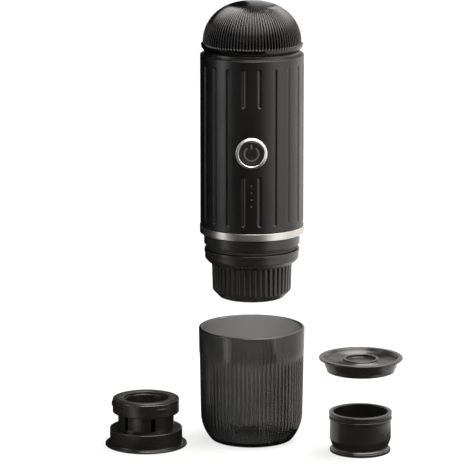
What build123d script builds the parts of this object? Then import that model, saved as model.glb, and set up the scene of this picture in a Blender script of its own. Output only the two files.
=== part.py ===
from build123d import *
import os
from math import asin, cos, pi, radians, sin

# Portable espresso maker above its cup, with the capsule adapter and the coffee basket beside it.
# Millimetres. Z is up, the button faces -Y, and the origin is the centre of the cup's foot.

# Clearances, and how far a cut runs past a face
running_gap = 0.3
slip_gap = 0.1
cup_gap = 1.4
cut_margin = 1.0

# Body shell and its grooves; a groove's foot and head are where it leaves the surface
shell_radius = 37.3
shell_wall = 2.2
shell_length = 125.0
shell_chamfer = 1.0
groove_count = 20
groove_width = 2.9
groove_depth = 1.0
groove_foot_margin = 4.5
groove_head_margin = 5.6
groove_break_low = 42.2
groove_break_high = 90.6

# Steel ring and lower housing
ring_proud = 0.4
ring_height = 5.2
ledge_step = 1.3
ledge_height = 1.0
neck_step = 2.6
neck_wall = 2.7
neck_height = 7.2
housing_floor = 3.0
housing_floor_above_ring_foot = 2.5
housing_wall = 2.2
housing_tongue = 8.3

# Drinking cup
cup_height = 83.5
cup_wall = 2.5
cup_floor = 3.2
cup_band_step = 0.3
cup_side_step = 0.6
cup_waist_step = 1.4
cup_foot_step = 9.0
cup_corner_height = 19.5
cup_corner_steps = 4
cup_corner_crowding = 1.5
cup_band_height = 19.5
flute_count = 72
flute_depth = 0.5

# Brew head below the machine
head_above_cup = 23.0
spigot_wall = 4.7
head_spigot_height = 9.4
brew_cap_height = 25.5
brew_cap_wall = 2.1
brew_cap_taper = 0.6
brew_cap_base_step = 5.2
brew_cap_chamfer_height = 5.5
brew_cap_floor = 4.0
knurl_count = 44
knurl_depth = 0.9
flange_height = 10.6
flange_step = 0.7
flange_foot_overhang = 0.5
flange_shoulder_step = 2.2
flange_shoulder_height = 1.1
flange_round_height = 3.8
flange_lip_step = 0.3
flange_lip_height = 2.6
gasket_step = 1.6
gasket_height = 3.1
nozzle_radius = 4.5
nozzle_bore_radius = 2.0
nozzle_height = 7.0
nozzle_lead = 1.0
nozzle_collar_width = 2.0
nozzle_collar_thickness = 1.0
shower_step = 3.0
shower_thickness = 3.0
shower_hole_radius = 1.2
shower_hole_count = 6
shower_hole_circle = 13.0

# Power button and its lights
button_height = 58.7
bezel_radius = 11.3
bezel_bore_radius = 9.2
bezel_proud = 0.6
bezel_length = 4.0
button_flange = 1.3
button_flange_thickness = 0.7
button_travel = 1.0
light_radius = 0.75
light_count = 4
light_pitch = 5.07
light_top_height = 35.3

# Collar, tank and lid
collar_skirt = 16.7
collar_lip_step = 1.3
collar_lip_height = 0.6
collar_neck_step = 2.9
collar_neck_height = 2.0
lid_spigot_step = 4.4
lid_spigot_height = 6.7
collar_wall = 4.4
tank_wall = 0.8
tank_lip_step = 1.3
space_under_tank = 22.0
seal_thickness = 1.9
seal_plug_step = 1.4
seal_plug_depth = 1.6
lid_flange_step = 0.6
lid_flange_height = 4.7
lid_flange_foot_step = 2.1
lid_lip_height = 2.4
lid_lip_chamfer = 0.4
dome_step = 1.8
dome_height = 30.5
dome_roundness = 2.16
dome_wall = 2.2
cavity_shares = (0.45, 0.7, 0.88)
rib_count = 96
rib_depth = 0.7
rib_end_share = 0.92
rib_steps = 7

# Parts inside the machine
heater_step = 10.2
heater_thickness = 5.0
sensor_size = (5.0, 4.0, 5.0)
sensor_gap = 1.0
sensor_y = -8.0
cell_radius = 9.2
cell_length = 65.0
cell_angles = (30, 90, 150)
plate_thickness = 3.0
plate_behind_board = 1.9
board_set_back = 10.3
board_thickness = 1.6
switch_size = 6.0
switch_plunger_radius = 1.7
switch_plunger_length = 1.0
pump_gap = 0.5
pump_height = 22.0
pump_centre_y = -3.0
motor_overhang = 1.0
motor_length = 34.0
pump_spout_radius = 2.9
hose_radius = 2.5
hose_bore_radius = 1.5
hose_reach = 8.0
hose_edge = 4.0
hose_bend = 5.0
hose_entry_height = 11.0
port_width = 3.2
port_height = 9.0
port_depth = 8.0
port_set_back = 0.5
port_wall = 0.35
port_back_wall = 1.0
port_tongue = 0.7
port_board_size = (1.6, 15.0, 12.0)
port_board_set_back = 1.0

# Capsule adapter
adapter_place = (-76.7, -19.2, 0)
adapter_flange_radius = 29.7
adapter_flange_height = 1.5
adapter_base_radius = 26.3
adapter_base_height = 12.8
adapter_bore_radius = 17.0
cage_radius = 20.3
cage_wall = 2.0
cage_height = 11.7
cage_slot_count = 6
cage_slot_width = 3.4
cage_slot_margin = 1.0
cage_slot_first_angle = -73
top_ring_radius = 24.25
top_ring_height = 10.1
top_ring_chamfer = 0.8
top_ring_seat_depth = 2.5
lug_count = 3
lug_first_angle = -60
lug_length = 8.0
lug_height = 2.4
lug_drop = 2.0
lug_reach = 0.7
well_mouth_radius = 15.3
well_foot_radius = 11.8
well_wall = 1.2
well_above_table = 4.0
adapter_seal_radius = 21.5
adapter_seal_hole_radius = 16.25
adapter_seal_height = 2.1
needle_plate_thickness = 0.8
needle_count = 3
needle_height = 3.5
needle_radius = 1.2
needle_tip_radius = 0.2
needle_circle = 5.5

# Coffee basket and its lid
basket_place = (78.8, -35.4, 0)
basket_height = 29.5
basket_foot_radius = 22.0
basket_foot_height = 2.2
basket_waist_radius = 19.7
basket_waist_height = 3.6
basket_round_height = 9.5
basket_wall_radius = 22.1
basket_inner_radius = 19.6
basket_floor = 6.0
basket_rim_radius = 22.75
basket_rim_height = 2.5
basket_groove_height = 1.5
basket_groove_radius = 21.2
basket_bead_height = 2.3
basket_bead_rise = 0.4
basket_outlet_radius = 9.0
screen_thickness = 0.5
basket_ring_radius = 22.3
lid_lift_shown = 34.8
basket_lid_height = 10.4
basket_lid_rim_radius = 30.2
basket_lid_rim_height = 1.5
basket_lid_band_radius = 27.25
basket_lid_band_foot_radius = 25.25
basket_lid_step_radius = 24.5
basket_lid_step_height = 2.5
basket_lid_recess_depth = 5.2
basket_lid_dish_radius = 25.85
basket_lid_dish_slope = 0.8
basket_lid_dish_depth = 2.2
basket_lid_hub_radius = 13.0
basket_lid_hub_wall = 2.1
basket_lid_hub_height = 1.2
basket_lid_hub_recess = 0.9
lid_screen_radius = 18.0

# Radii that follow from the shell's
ring_radius = shell_radius + ring_proud
ledge_radius = shell_radius - ledge_step
neck_radius = shell_radius - neck_step
housing_bore_radius = neck_radius - neck_wall
head_spigot_radius = housing_bore_radius - running_gap
chamber_radius = head_spigot_radius - spigot_wall
brew_cap_top_radius = chamber_radius + brew_cap_wall
brew_cap_low_radius = brew_cap_top_radius - brew_cap_taper
brew_cap_base_radius = brew_cap_low_radius - brew_cap_base_step
flange_radius = neck_radius - flange_step
flange_lip_radius = neck_radius - flange_lip_step
flange_foot_radius = brew_cap_top_radius + flange_foot_overhang
gasket_radius = neck_radius - gasket_step
shower_radius = chamber_radius - shower_step
cup_rim_radius = neck_radius + cup_gap + cup_wall
cup_waist_radius = cup_rim_radius - cup_waist_step
cup_foot_radius = cup_rim_radius - cup_foot_step
shell_bore_radius = shell_radius - shell_wall
tongue_radius = shell_bore_radius - running_gap
tongue_bore_radius = tongue_radius - housing_wall
lid_spigot_radius = shell_radius - lid_spigot_step
collar_bore_radius = lid_spigot_radius - collar_wall
tank_radius = collar_bore_radius - running_gap
lid_flange_radius = shell_radius - lid_flange_step
dome_radius = shell_radius - dome_step
heater_radius = tank_radius - heater_step

# Heights that follow from the sizes above
head_foot = cup_height + head_above_cup
cap_top = head_foot + brew_cap_height
flange_top = cap_top + flange_height
housing_foot = flange_top + running_gap + gasket_height + running_gap
ledge_foot = housing_foot + neck_height
ring_foot = ledge_foot + ledge_height
shell_foot = ring_foot + ring_height
shell_top = shell_foot + shell_length
floor_foot = ring_foot + housing_floor_above_ring_foot
floor_top = floor_foot + housing_floor
collar_neck_foot = shell_top + collar_lip_height
collar_neck_top = collar_neck_foot + collar_neck_height
spigot_top = collar_neck_top + lid_spigot_height
cell_top = floor_top + cell_length
plate_top = cell_top + plate_thickness
tank_foot = plate_top + space_under_tank
seal_foot = spigot_top + tank_wall + running_gap
seal_top = seal_foot + seal_thickness
lid_foot = collar_neck_top + running_gap
dome_foot = lid_foot + lid_flange_height
button_z = shell_foot + button_height
port_z = plate_top + port_board_size[2] / 2
well_seat = adapter_base_height + cage_height + top_ring_height - top_ring_seat_depth
basket_lid_foot = basket_height + running_gap - basket_lid_recess_depth + lid_lift_shown

# Places of the parts inside, from the wall inwards
board_front = shell_radius - board_set_back
plate_front = board_front - board_thickness - plate_behind_board
board_width = 2 * ((tongue_bore_radius - running_gap) ** 2 - board_front**2) ** 0.5
button_back = -shell_radius - bezel_proud + bezel_length + running_gap + button_flange_thickness
cell_circle = tongue_bore_radius - running_gap - cell_radius
cell_x = cell_circle * cos(radians(cell_angles[0]))
cell_y = cell_circle * sin(radians(cell_angles[0])) - pump_centre_y
pump_reach = (2 * (cell_radius + pump_gap) ** 2 - (cell_x - cell_y) ** 2) ** 0.5
pump_half = (cell_x + cell_y - pump_reach) / 2
motor_radius = pump_half + motor_overhang
hose_x = -pump_half - hose_reach
hose_y = pump_centre_y - pump_half + hose_edge


def turned(outline, place=(0, 0, 0)):
    """A solid turned about a vertical axis, from the corners (radius, height) of its half section."""
    section = make_face(Polyline(*[(r, 0, z) for r, z in outline], close=True))
    return Pos(*place) * revolve(section, Axis.Z)


def fluted(levels, count, depth):
    """A fluted solid through levels (radius, height); the flutes have their full depth at the widest."""
    widest = max(radius for radius, _ in levels)
    sections = []
    for radius, height in levels:
        corners = []
        for step in range(2 * count):
            r = radius * (1 - depth / widest * (step % 2))
            turn = pi * step / count
            corners.append((r * cos(turn), r * sin(turn), height))
        sections.append(Face(Wire.make_polygon(corners, close=True)))
    return loft(sections, ruled=True)


def upright(radius, foot, height, x=0.0, y=0.0):
    """A vertical round bar that stands on foot."""
    return Pos(x, y, foot + height / 2) * Cylinder(radius, height)


def along_y(radius, front, back, height, x=0.0):
    """A round bar that points along Y, from front to back."""
    return Pos(x, (front + back) / 2, height) * Rot(90, 0, 0) * Cylinder(radius, back - front)


def block(size, foot, x=0.0, y=0.0):
    """A square block of size (x, y, z) that stands on foot."""
    return Pos(x, y, foot + size[2] / 2) * Box(*size)


def around(count, radius, first=0.0):
    """Places spread evenly on a circle about the Z axis."""
    return [Rot(0, 0, first + 360 * i / count) * Pos(radius, 0, 0) for i in range(count)]


def cup_corner(inset=0.0, foot=0.0):
    """Points (radius, height) up the cup's rounded corner, moved inwards by a wall."""
    drop = cup_waist_radius - cup_foot_radius
    bend = (drop**2 + cup_corner_height**2) / (2 * drop)
    points = []
    for step in range(cup_corner_steps + 1):
        height = foot + (cup_corner_height - foot) * (step / cup_corner_steps) ** cup_corner_crowding
        across = (bend**2 - (cup_corner_height - height) ** 2) ** 0.5
        points.append((cup_waist_radius - bend + across - inset, height))
    return points


def cup():
    band_foot = cup_height - cup_band_height
    side = (cup_rim_radius - cup_side_step, band_foot)
    outside = fluted(cup_corner() + [side], flute_count, flute_depth)
    band = [
        (0, band_foot),
        (cup_rim_radius - cup_band_step, band_foot),
        (cup_rim_radius, cup_height),
        (0, cup_height),
    ]
    hollow = [(0, cup_floor)] + cup_corner(cup_wall, cup_floor)
    hollow += [(cup_rim_radius - cup_wall, cup_height), (0, cup_height)]
    return outside + turned(band) - turned(hollow)


def brew_cap():
    knee = head_foot + brew_cap_chamfer_height
    levels = [
        (brew_cap_base_radius, head_foot),
        (brew_cap_low_radius, knee),
        (brew_cap_top_radius, cap_top),
    ]
    chamber_foot = head_foot + brew_cap_floor
    chamber_knee = chamber_foot + brew_cap_chamfer_height
    chamber = [
        (0, chamber_foot),
        (brew_cap_base_radius - brew_cap_floor, chamber_foot),
        (chamber_radius, chamber_knee),
        (chamber_radius, cap_top),
        (0, cap_top),
    ]
    outlet = upright(nozzle_radius + slip_gap, head_foot, brew_cap_floor)
    return fluted(levels, knurl_count, knurl_depth) - turned(chamber) - outlet


def outlet_nozzle():
    """A steel nozzle with a collar that rests on the chamber's floor."""
    collar_foot = head_foot + brew_cap_floor
    top = head_foot + nozzle_height
    return turned([
        (nozzle_bore_radius, head_foot - running_gap),
        (nozzle_radius - nozzle_lead, head_foot - running_gap),
        (nozzle_radius, head_foot + nozzle_lead),
        (nozzle_radius, collar_foot),
        (nozzle_radius + nozzle_collar_width, collar_foot),
        (nozzle_radius + nozzle_collar_width, collar_foot + nozzle_collar_thickness),
        (nozzle_bore_radius + nozzle_lead, top),
        (nozzle_bore_radius, top),
    ])


def brew_flange():
    round_top = cap_top + flange_round_height
    lip_foot = flange_top - flange_lip_height
    return turned([
        (chamber_radius, cap_top),
        (flange_foot_radius, cap_top),
        (flange_radius - flange_shoulder_step, cap_top + flange_shoulder_height),
        (flange_radius, round_top),
        (flange_radius, lip_foot),
        (flange_lip_radius, lip_foot),
        (flange_lip_radius, flange_top),
        (head_spigot_radius, flange_top),
        (head_spigot_radius, flange_top + head_spigot_height),
        (chamber_radius, flange_top + head_spigot_height),
    ])


def plain_ring(inner, outer, foot, height, place=(0, 0, 0)):
    return turned([(inner, foot), (outer, foot), (outer, foot + height), (inner, foot + height)], place)


def brew_gasket():
    return plain_ring(housing_bore_radius, gasket_radius, flange_top + running_gap, gasket_height)


def lower_housing():
    tongue_top = shell_foot + housing_tongue
    solid = turned([
        (housing_bore_radius, housing_foot),
        (neck_radius, housing_foot),
        (neck_radius, ledge_foot),
        (ledge_radius, ledge_foot),
        (ledge_radius, ring_foot),
        (tongue_radius, ring_foot),
        (tongue_radius, tongue_top),
        (tongue_bore_radius, tongue_top),
        (tongue_bore_radius, floor_top),
        (0, floor_top),
        (0, floor_foot),
        (housing_bore_radius, floor_foot),
    ])
    return solid - upright(pump_spout_radius + slip_gap, floor_foot, housing_floor, 0, pump_centre_y)


def steel_ring():
    return plain_ring(tongue_radius + slip_gap, ring_radius, ring_foot, ring_height)


def groove(angle, low, high):
    """A groove down the shell as a ball-nosed tool leaves it, at an angle from the button."""
    nose = (groove_depth**2 + (groove_width / 2) ** 2) / (2 * groove_depth)
    foot, top = low + groove_width / 2, high - groove_width / 2
    tool = upright(nose, foot, top - foot) + Pos(0, 0, foot) * Sphere(nose) + Pos(0, 0, top) * Sphere(nose)
    return Rot(0, 0, angle) * Pos(0, groove_depth - shell_radius - nose, shell_foot) * tool


def body_shell():
    shell = turned([
        (shell_bore_radius, shell_foot),
        (shell_radius, shell_foot),
        (shell_radius, shell_top - shell_chamfer),
        (shell_radius - shell_chamfer, shell_top),
        (shell_bore_radius, shell_top),
    ])
    low, high = groove_foot_margin, shell_length - groove_head_margin
    step = 360 / groove_count
    cutters = []
    for i in range(groove_count):
        angle = step * (i + 0.5)
        if i in (0, groove_count - 1):
            cutters.append(groove(angle, low, groove_break_low))
            cutters.append(groove(angle, groove_break_high, high))
        else:
            cutters.append(groove(angle, low, high))
    front, inside = -shell_radius - cut_margin, -shell_bore_radius + bezel_length
    cutters.append(along_y(bezel_radius + slip_gap, front, inside, button_z))
    for z in light_heights():
        cutters.append(along_y(light_radius + slip_gap, front, inside, z))
    cutters.append(port_slot(running_gap, shell_radius + cut_margin, bezel_length + shell_wall))
    return shell - cutters


def light_heights():
    top = shell_foot + light_top_height
    return [top - light_pitch * i for i in range(light_count)]


def port_slot(margin, back, depth):
    """An upright slot with round ends, wider than the socket by a margin, from back towards the front."""
    outline = SlotOverall(port_height + 2 * margin, port_width + 2 * margin, rotation=90)
    return Pos(0, back, port_z) * Rot(90, 0, 0) * extrude(outline, amount=depth)


def top_collar():
    return turned([
        (collar_bore_radius, shell_top - collar_skirt),
        (shell_bore_radius - slip_gap, shell_top - collar_skirt),
        (shell_bore_radius - slip_gap, shell_top),
        (shell_radius - collar_lip_step, shell_top),
        (shell_radius - collar_lip_step, collar_neck_foot),
        (shell_radius - collar_neck_step, collar_neck_foot),
        (shell_radius - collar_neck_step, collar_neck_top),
        (lid_spigot_radius, collar_neck_top),
        (lid_spigot_radius, spigot_top),
        (collar_bore_radius, spigot_top),
    ])


def water_tank():
    inner = tank_radius - tank_wall
    lip = lid_spigot_radius - tank_lip_step
    return turned([
        (0, tank_foot),
        (tank_radius, tank_foot),
        (tank_radius, spigot_top),
        (lip, spigot_top),
        (lip, spigot_top + tank_wall),
        (inner, spigot_top + tank_wall),
        (inner, tank_foot + tank_wall),
        (0, tank_foot + tank_wall),
    ])


def lid_seal():
    """A silicone disc over the tank's mouth, with a shallow plug that reaches into it."""
    plug = tank_radius - tank_wall - seal_plug_step
    return turned([
        (0, seal_foot - seal_plug_depth),
        (plug, seal_foot - seal_plug_depth),
        (plug, seal_foot),
        (lid_spigot_radius, seal_foot),
        (lid_spigot_radius, seal_top),
        (0, seal_top),
    ])


def dome_at(share, inset=0.0):
    """A point (radius, height) of the dome at a share of its height, inside it by inset."""
    reach = dome_radius - inset
    rise = dome_height - inset
    radius = reach * (1 - share**dome_roundness) ** (1 / dome_roundness)
    return radius, dome_foot + rise * share


def ball_cap(radius, foot, top):
    """A cap of a ball over a circle of this radius, from foot up to top."""
    rise = top - foot
    ball = (radius**2 + rise**2) / (2 * rise)
    half = asin(radius / ball) / 2
    middle = (ball * sin(half), 0, top - ball + ball * cos(half))
    arc = ThreePointArc((radius, 0, foot), middle, (0, 0, top))
    base = Polyline((0, 0, top), (0, 0, foot), (radius, 0, foot))
    return revolve(make_face(arc + base), Axis.Z)


def lid_dome():
    levels = []
    for step in range(rib_steps):
        share = rib_end_share * sin(pi / 2 * step / (rib_steps - 1))
        levels.append(dome_at(share))
    ribs = fluted(levels, rib_count, rib_depth)
    crown = ball_cap(*levels[-1], dome_foot + dome_height)
    flange = turned([
        (0, lid_foot),
        (lid_flange_radius - lid_flange_foot_step, lid_foot),
        (lid_flange_radius, dome_foot - lid_lip_height),
        (lid_flange_radius, dome_foot - lid_lip_chamfer),
        (lid_flange_radius - lid_lip_chamfer, dome_foot),
        (0, dome_foot),
    ])
    bore = lid_spigot_radius + running_gap
    ledge = seal_top + running_gap
    cavity = [(0, lid_foot), (bore, lid_foot), (bore, ledge), (bore - dome_wall, ledge)]
    for share in cavity_shares:
        cavity.append(dome_at(share, dome_wall + rib_depth))
    cavity.append((0, cavity[-1][1]))
    return flange + ribs + crown - turned(cavity)


def button_bezel():
    front = -shell_radius - bezel_proud
    solid = along_y(bezel_radius, front, front + bezel_length, button_z)
    return solid - along_y(bezel_bore_radius, front, front + bezel_length, button_z)


def power_button():
    """A round cap in the bezel, kept in by a flange behind it."""
    front = -shell_radius - bezel_proud + slip_gap
    flange_front = button_back - button_flange_thickness
    cap = along_y(bezel_bore_radius - running_gap, front, button_back, button_z)
    return cap + along_y(bezel_bore_radius + button_flange, flange_front, button_back, button_z)


def circuit_board():
    height = cell_length - running_gap
    middle = -board_front + board_thickness / 2
    return block((board_width, board_thickness, height), floor_top, 0, middle)


def button_switch():
    """A push switch on the board, its plunger just behind the button."""
    plunger_front = button_back + button_travel + running_gap
    body_front = plunger_front + switch_plunger_length
    size = (switch_size, -board_front - body_front, switch_size)
    body = block(size, button_z - switch_size / 2, 0, body_front + size[1] / 2)
    return body + along_y(switch_plunger_radius, plunger_front, body_front, button_z)


def light_pipes():
    front, back = -shell_radius, -board_front
    return Compound(children=[along_y(light_radius, front, back, z) for z in light_heights()])


def battery_cells():
    cells = []
    for angle in cell_angles:
        cells.append(Rot(0, 0, angle) * upright(cell_radius, floor_top, cell_length, cell_circle))
    return Compound(children=cells)


def chassis_plate():
    disc = upright(shell_bore_radius - running_gap, cell_top, plate_thickness)
    front_size = (2 * shell_radius, shell_radius, plate_thickness)
    front = block(front_size, cell_top, 0, -plate_front - shell_radius / 2)
    hose = upright(hose_radius + running_gap, cell_top, plate_thickness, hose_x, hose_y)
    return disc - front - hose


def pump_head():
    body = block((2 * pump_half, 2 * pump_half, pump_height), floor_top, 0, pump_centre_y)
    return body + upright(pump_spout_radius, floor_foot, housing_floor, 0, pump_centre_y)


def pump_motor():
    return upright(motor_radius, floor_top + pump_height, motor_length, 0, pump_centre_y)


def intake_hose():
    """The hose from the tank's floor down to the side of the pump."""
    low = floor_top + hose_entry_height
    corners = [(hose_x, hose_y, tank_foot), (hose_x, hose_y, low), (-pump_half, hose_y, low)]
    path = FilletPolyline(*corners, radius=hose_bend)
    section = Pos(*corners[0]) * (Circle(hose_radius) - Circle(hose_bore_radius))
    return sweep(section, path=path)


def heating_plate():
    return upright(heater_radius, tank_foot - heater_thickness, heater_thickness)


def temperature_sensor():
    x = heater_radius + sensor_gap + sensor_size[0] / 2
    return block(sensor_size, tank_foot - sensor_size[2], x, sensor_y)


def port_board():
    x = port_width / 2 + port_board_size[0] / 2
    y = shell_bore_radius - port_board_set_back - port_board_size[1] / 2
    return block(port_board_size, plate_top, x, y)


def charging_port():
    """A metal socket shell, open at the back of the machine, with its contact tongue."""
    mouth = shell_radius - port_set_back
    shell = port_slot(0, mouth, port_depth) - port_slot(-port_wall, mouth, port_depth - port_back_wall)
    tongue = (port_tongue, port_depth - 2 * port_back_wall, port_height - port_width)
    return shell + block(tongue, port_z - tongue[2] / 2, 0, mouth - port_depth + tongue[1] / 2)


def shower_plate():
    foot = floor_foot - shower_thickness
    plate = upright(shower_radius, foot, shower_thickness)
    hole = upright(shower_hole_radius, foot, shower_thickness)
    return plate - [p * hole for p in around(shower_hole_count, shower_hole_circle)]


def adapter_base():
    return turned([
        (adapter_bore_radius, 0),
        (adapter_flange_radius, 0),
        (adapter_flange_radius, adapter_flange_height),
        (adapter_base_radius, adapter_flange_height),
        (adapter_base_radius, adapter_base_height),
        (adapter_bore_radius, adapter_base_height),
    ], adapter_place)


def adapter_cage():
    ring = plain_ring(cage_radius - cage_wall, cage_radius, adapter_base_height, cage_height)
    slot_height = cage_height - 2 * cage_slot_margin
    slot = block((3 * cage_wall, cage_slot_width, slot_height), adapter_base_height + cage_slot_margin)
    slots = [p * slot for p in around(cage_slot_count, cage_radius - cage_wall / 2, cage_slot_first_angle)]
    return Pos(*adapter_place) * (ring - slots)


def adapter_top_ring():
    foot = adapter_base_height + cage_height
    top = foot + top_ring_height
    ring = turned([
        (adapter_bore_radius, foot),
        (top_ring_radius, foot),
        (top_ring_radius, top - top_ring_chamfer),
        (top_ring_radius - top_ring_chamfer, top),
        (adapter_seal_radius + slip_gap, top),
        (adapter_seal_radius + slip_gap, well_seat),
        (adapter_bore_radius, well_seat),
    ])
    lug_foot = top - top_ring_chamfer - lug_drop - lug_height
    lug = block((2 * lug_reach, lug_length, lug_height), lug_foot)
    lugs = [p * lug for p in around(lug_count, top_ring_radius - lug_reach / 2, lug_first_angle)]
    return Pos(*adapter_place) * (ring + lugs)


def capsule_well():
    """A tapered cup for one capsule, hung by its flange in the top ring."""
    foot = well_above_table
    return turned([
        (nozzle_bore_radius, foot),
        (well_foot_radius + well_wall, foot),
        (well_mouth_radius + well_wall, well_seat),
        (adapter_seal_radius, well_seat),
        (adapter_seal_radius, well_seat + well_wall),
        (well_mouth_radius, well_seat + well_wall),
        (well_foot_radius, foot + well_wall),
        (nozzle_bore_radius, foot + well_wall),
    ], adapter_place)


def adapter_seal():
    foot = well_seat + well_wall
    return plain_ring(adapter_seal_hole_radius, adapter_seal_radius, foot, adapter_seal_height, adapter_place)


def needle_plate():
    """A steel disc on the well's floor with the needles that open the capsule."""
    foot = well_above_table + well_wall
    disc = plain_ring(nozzle_bore_radius, well_foot_radius - running_gap, foot, needle_plate_thickness)
    middle = foot + needle_plate_thickness + needle_height / 2
    needle = Pos(0, 0, middle) * Cone(needle_radius, needle_tip_radius, needle_height)
    return Pos(*adapter_place) * (disc + [p * needle for p in around(needle_count, needle_circle)])


def basket_body():
    rim_foot = basket_height - basket_rim_height
    bead_top = rim_foot - basket_groove_height
    bead_foot = bead_top - basket_bead_height
    return turned([
        (basket_outlet_radius, 0),
        (basket_foot_radius, 0),
        (basket_foot_radius, basket_foot_height),
        (basket_waist_radius, basket_waist_height),
        (basket_wall_radius, basket_round_height),
        (basket_wall_radius, bead_foot),
        (basket_rim_radius, bead_foot + basket_bead_rise),
        (basket_rim_radius, bead_top),
        (basket_groove_radius, bead_top),
        (basket_groove_radius, rim_foot),
        (basket_rim_radius, rim_foot),
        (basket_rim_radius, basket_height),
        (basket_inner_radius, basket_height),
        (basket_inner_radius, basket_floor),
        (basket_outlet_radius, basket_floor),
    ], basket_place)


def basket_screen():
    return Pos(*basket_place) * upright(basket_inner_radius - slip_gap, basket_floor, screen_thickness)


def basket_ring():
    foot = basket_height - basket_rim_height - basket_groove_height + slip_gap
    height = basket_groove_height - 2 * slip_gap
    return plain_ring(basket_groove_radius + slip_gap, basket_ring_radius, foot, height, basket_place)


def basket_lid():
    """The basket's lid as the set is shown, taken off and held above the basket."""
    foot = basket_lid_foot
    top = foot + basket_lid_height
    dish = top - basket_lid_dish_depth
    hub_top = dish + basket_lid_hub_height
    hub_inner = basket_lid_hub_radius - basket_lid_hub_wall
    ceiling = foot + basket_lid_recess_depth
    bore = basket_rim_radius + running_gap
    step_top = foot + basket_lid_step_height
    return turned([
        (0, ceiling),
        (bore, ceiling),
        (bore, foot),
        (basket_lid_step_radius, foot),
        (basket_lid_step_radius, step_top),
        (basket_lid_band_foot_radius, step_top),
        (basket_lid_band_radius, top - basket_lid_rim_height),
        (basket_lid_rim_radius, top - basket_lid_rim_height),
        (basket_lid_rim_radius, top),
        (basket_lid_dish_radius + basket_lid_dish_slope, top),
        (basket_lid_dish_radius, dish),
        (basket_lid_hub_radius, dish),
        (basket_lid_hub_radius, hub_top),
        (hub_inner, hub_top),
        (hub_inner, dish - basket_lid_hub_recess),
        (0, dish - basket_lid_hub_recess),
    ], basket_place)


def lid_screen():
    foot = basket_lid_foot + basket_lid_recess_depth - screen_thickness
    return Pos(*basket_place) * upright(lid_screen_radius, foot, screen_thickness)


pieces = [
    body_shell, steel_ring, top_collar, water_tank, heating_plate, temperature_sensor, battery_cells,
    chassis_plate, circuit_board, button_switch, light_pipes, pump_motor, pump_head, intake_hose,
    port_board, charging_port, lower_housing, shower_plate, button_bezel, power_button, lid_seal,
    lid_dome, brew_gasket, brew_flange, brew_cap, outlet_nozzle, cup, adapter_base, adapter_cage,
    adapter_top_ring, capsule_well, adapter_seal, needle_plate, basket_body, basket_screen,
    basket_ring, basket_lid, lid_screen,
]

os.makedirs("parts", exist_ok=True)
for piece in pieces:
    export_step(piece(), f"parts/{piece.__name__}.step")
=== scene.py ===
from math import cos, hypot, pi, radians, sin, tan

import bpy
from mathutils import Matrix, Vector


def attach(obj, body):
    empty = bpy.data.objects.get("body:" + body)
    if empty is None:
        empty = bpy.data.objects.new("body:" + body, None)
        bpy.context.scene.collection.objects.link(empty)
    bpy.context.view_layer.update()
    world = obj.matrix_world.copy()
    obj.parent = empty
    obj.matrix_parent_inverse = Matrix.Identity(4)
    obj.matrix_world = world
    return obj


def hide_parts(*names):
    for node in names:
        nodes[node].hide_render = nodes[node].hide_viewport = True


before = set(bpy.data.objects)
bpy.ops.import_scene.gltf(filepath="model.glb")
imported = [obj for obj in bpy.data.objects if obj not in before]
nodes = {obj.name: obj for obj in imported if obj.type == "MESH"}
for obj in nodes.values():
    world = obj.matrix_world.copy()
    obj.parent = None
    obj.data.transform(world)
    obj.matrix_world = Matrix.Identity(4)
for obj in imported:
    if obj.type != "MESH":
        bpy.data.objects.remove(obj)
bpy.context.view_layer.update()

# The sizes below are in millimetres, and a mesh is brought to metres when it is made.
MM = 0.001

# Heights up the common axis of the machine and the cup
CUP_RIM = 83.5
CUP_BAND = 64.0
HEAD_FOOT = 106.5
HEAD_KNEE = 112.0
CAP_TOP = 132.0
FLANGE_TOP = 142.6
HEAD_SPIGOT_TOP = 152.0
GASKET_FOOT, GASKET_TOP = 142.9, 146.0
NECK_FOOT, NECK_TOP = 146.3, 153.5
DECK_FOOT, DECK_TOP = 157.0, 160.0
RING_FOOT, SHELL_FOOT = 154.5, 159.7
GROOVE_FOOT, GROOVE_TOP = SHELL_FOOT + 4.5, SHELL_FOOT + 119.4
BREAK_FOOT, BREAK_TOP = SHELL_FOOT + 42.2, SHELL_FOOT + 90.6
SOCKET_HEIGHT = 234.0
BUTTON_HEIGHT = 218.4
LIGHT_HEIGHTS = [195.0, 189.93, 184.86, 179.79]
SHELL_TOP = 284.7
COLLAR_STEP, COLLAR_TOP = 285.3, 287.3
TANK_FOOT, SPIGOT_TOP = 250.0, 294.0
SEAL_FOOT, SEAL_TOP = 295.1, 297.0
LID_FOOT, DOME_FOOT, DOME_TOP = 287.6, 292.3, 322.8

# Radii, walls and counts of the cup and the machine
CUP_RIM_RADIUS = 38.6
CUP_WAIST_RADIUS = 37.2
CUP_FOOT_RADIUS = 29.6
CUP_CORNER = 19.5
CUP_WALL = 2.5
CUP_FLOOR = 3.2
SHELL_RADIUS = 37.3
SHELL_BORE = 35.1
BEZEL_FRONT = SHELL_RADIUS + 0.6
GROOVES = 20
GROOVE_WIDTH, GROOVE_DEPTH = 3.7, 0.62
RIBS = 96
RIB_RADIUS = 35.5
COLLAR_NECK_RADIUS = 32.9
NECK_BORE = 32.0
HEAD_SPIGOT_RADIUS = 31.7
CHAMBER_BORE = 27.0
KNURLS = 44
KNURL_RADIUS = 29.1
FLUTES = 72

# The adapter, the basket and its lid: places on the table, radii and heights
ADAPTER = (-76.7, -19.2)
ADAPTER_BASE_TOP = 12.8
ADAPTER_RADIUS = 24.25
WELL_SEAT, SEAL_SEAT = 32.1, 33.3
BASKET = (78.8, -35.4)
BASKET_RIM_RADIUS = 22.75
BASKET_BORE = 19.6
BASKET_FLOOR = 6.0
BASKET_LID_FOOT = 59.4
BASKET_LID_TOP = 69.8


# Node trees

MATH, VECTOR_MATH = "ShaderNodeMath", "ShaderNodeVectorMath"


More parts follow.
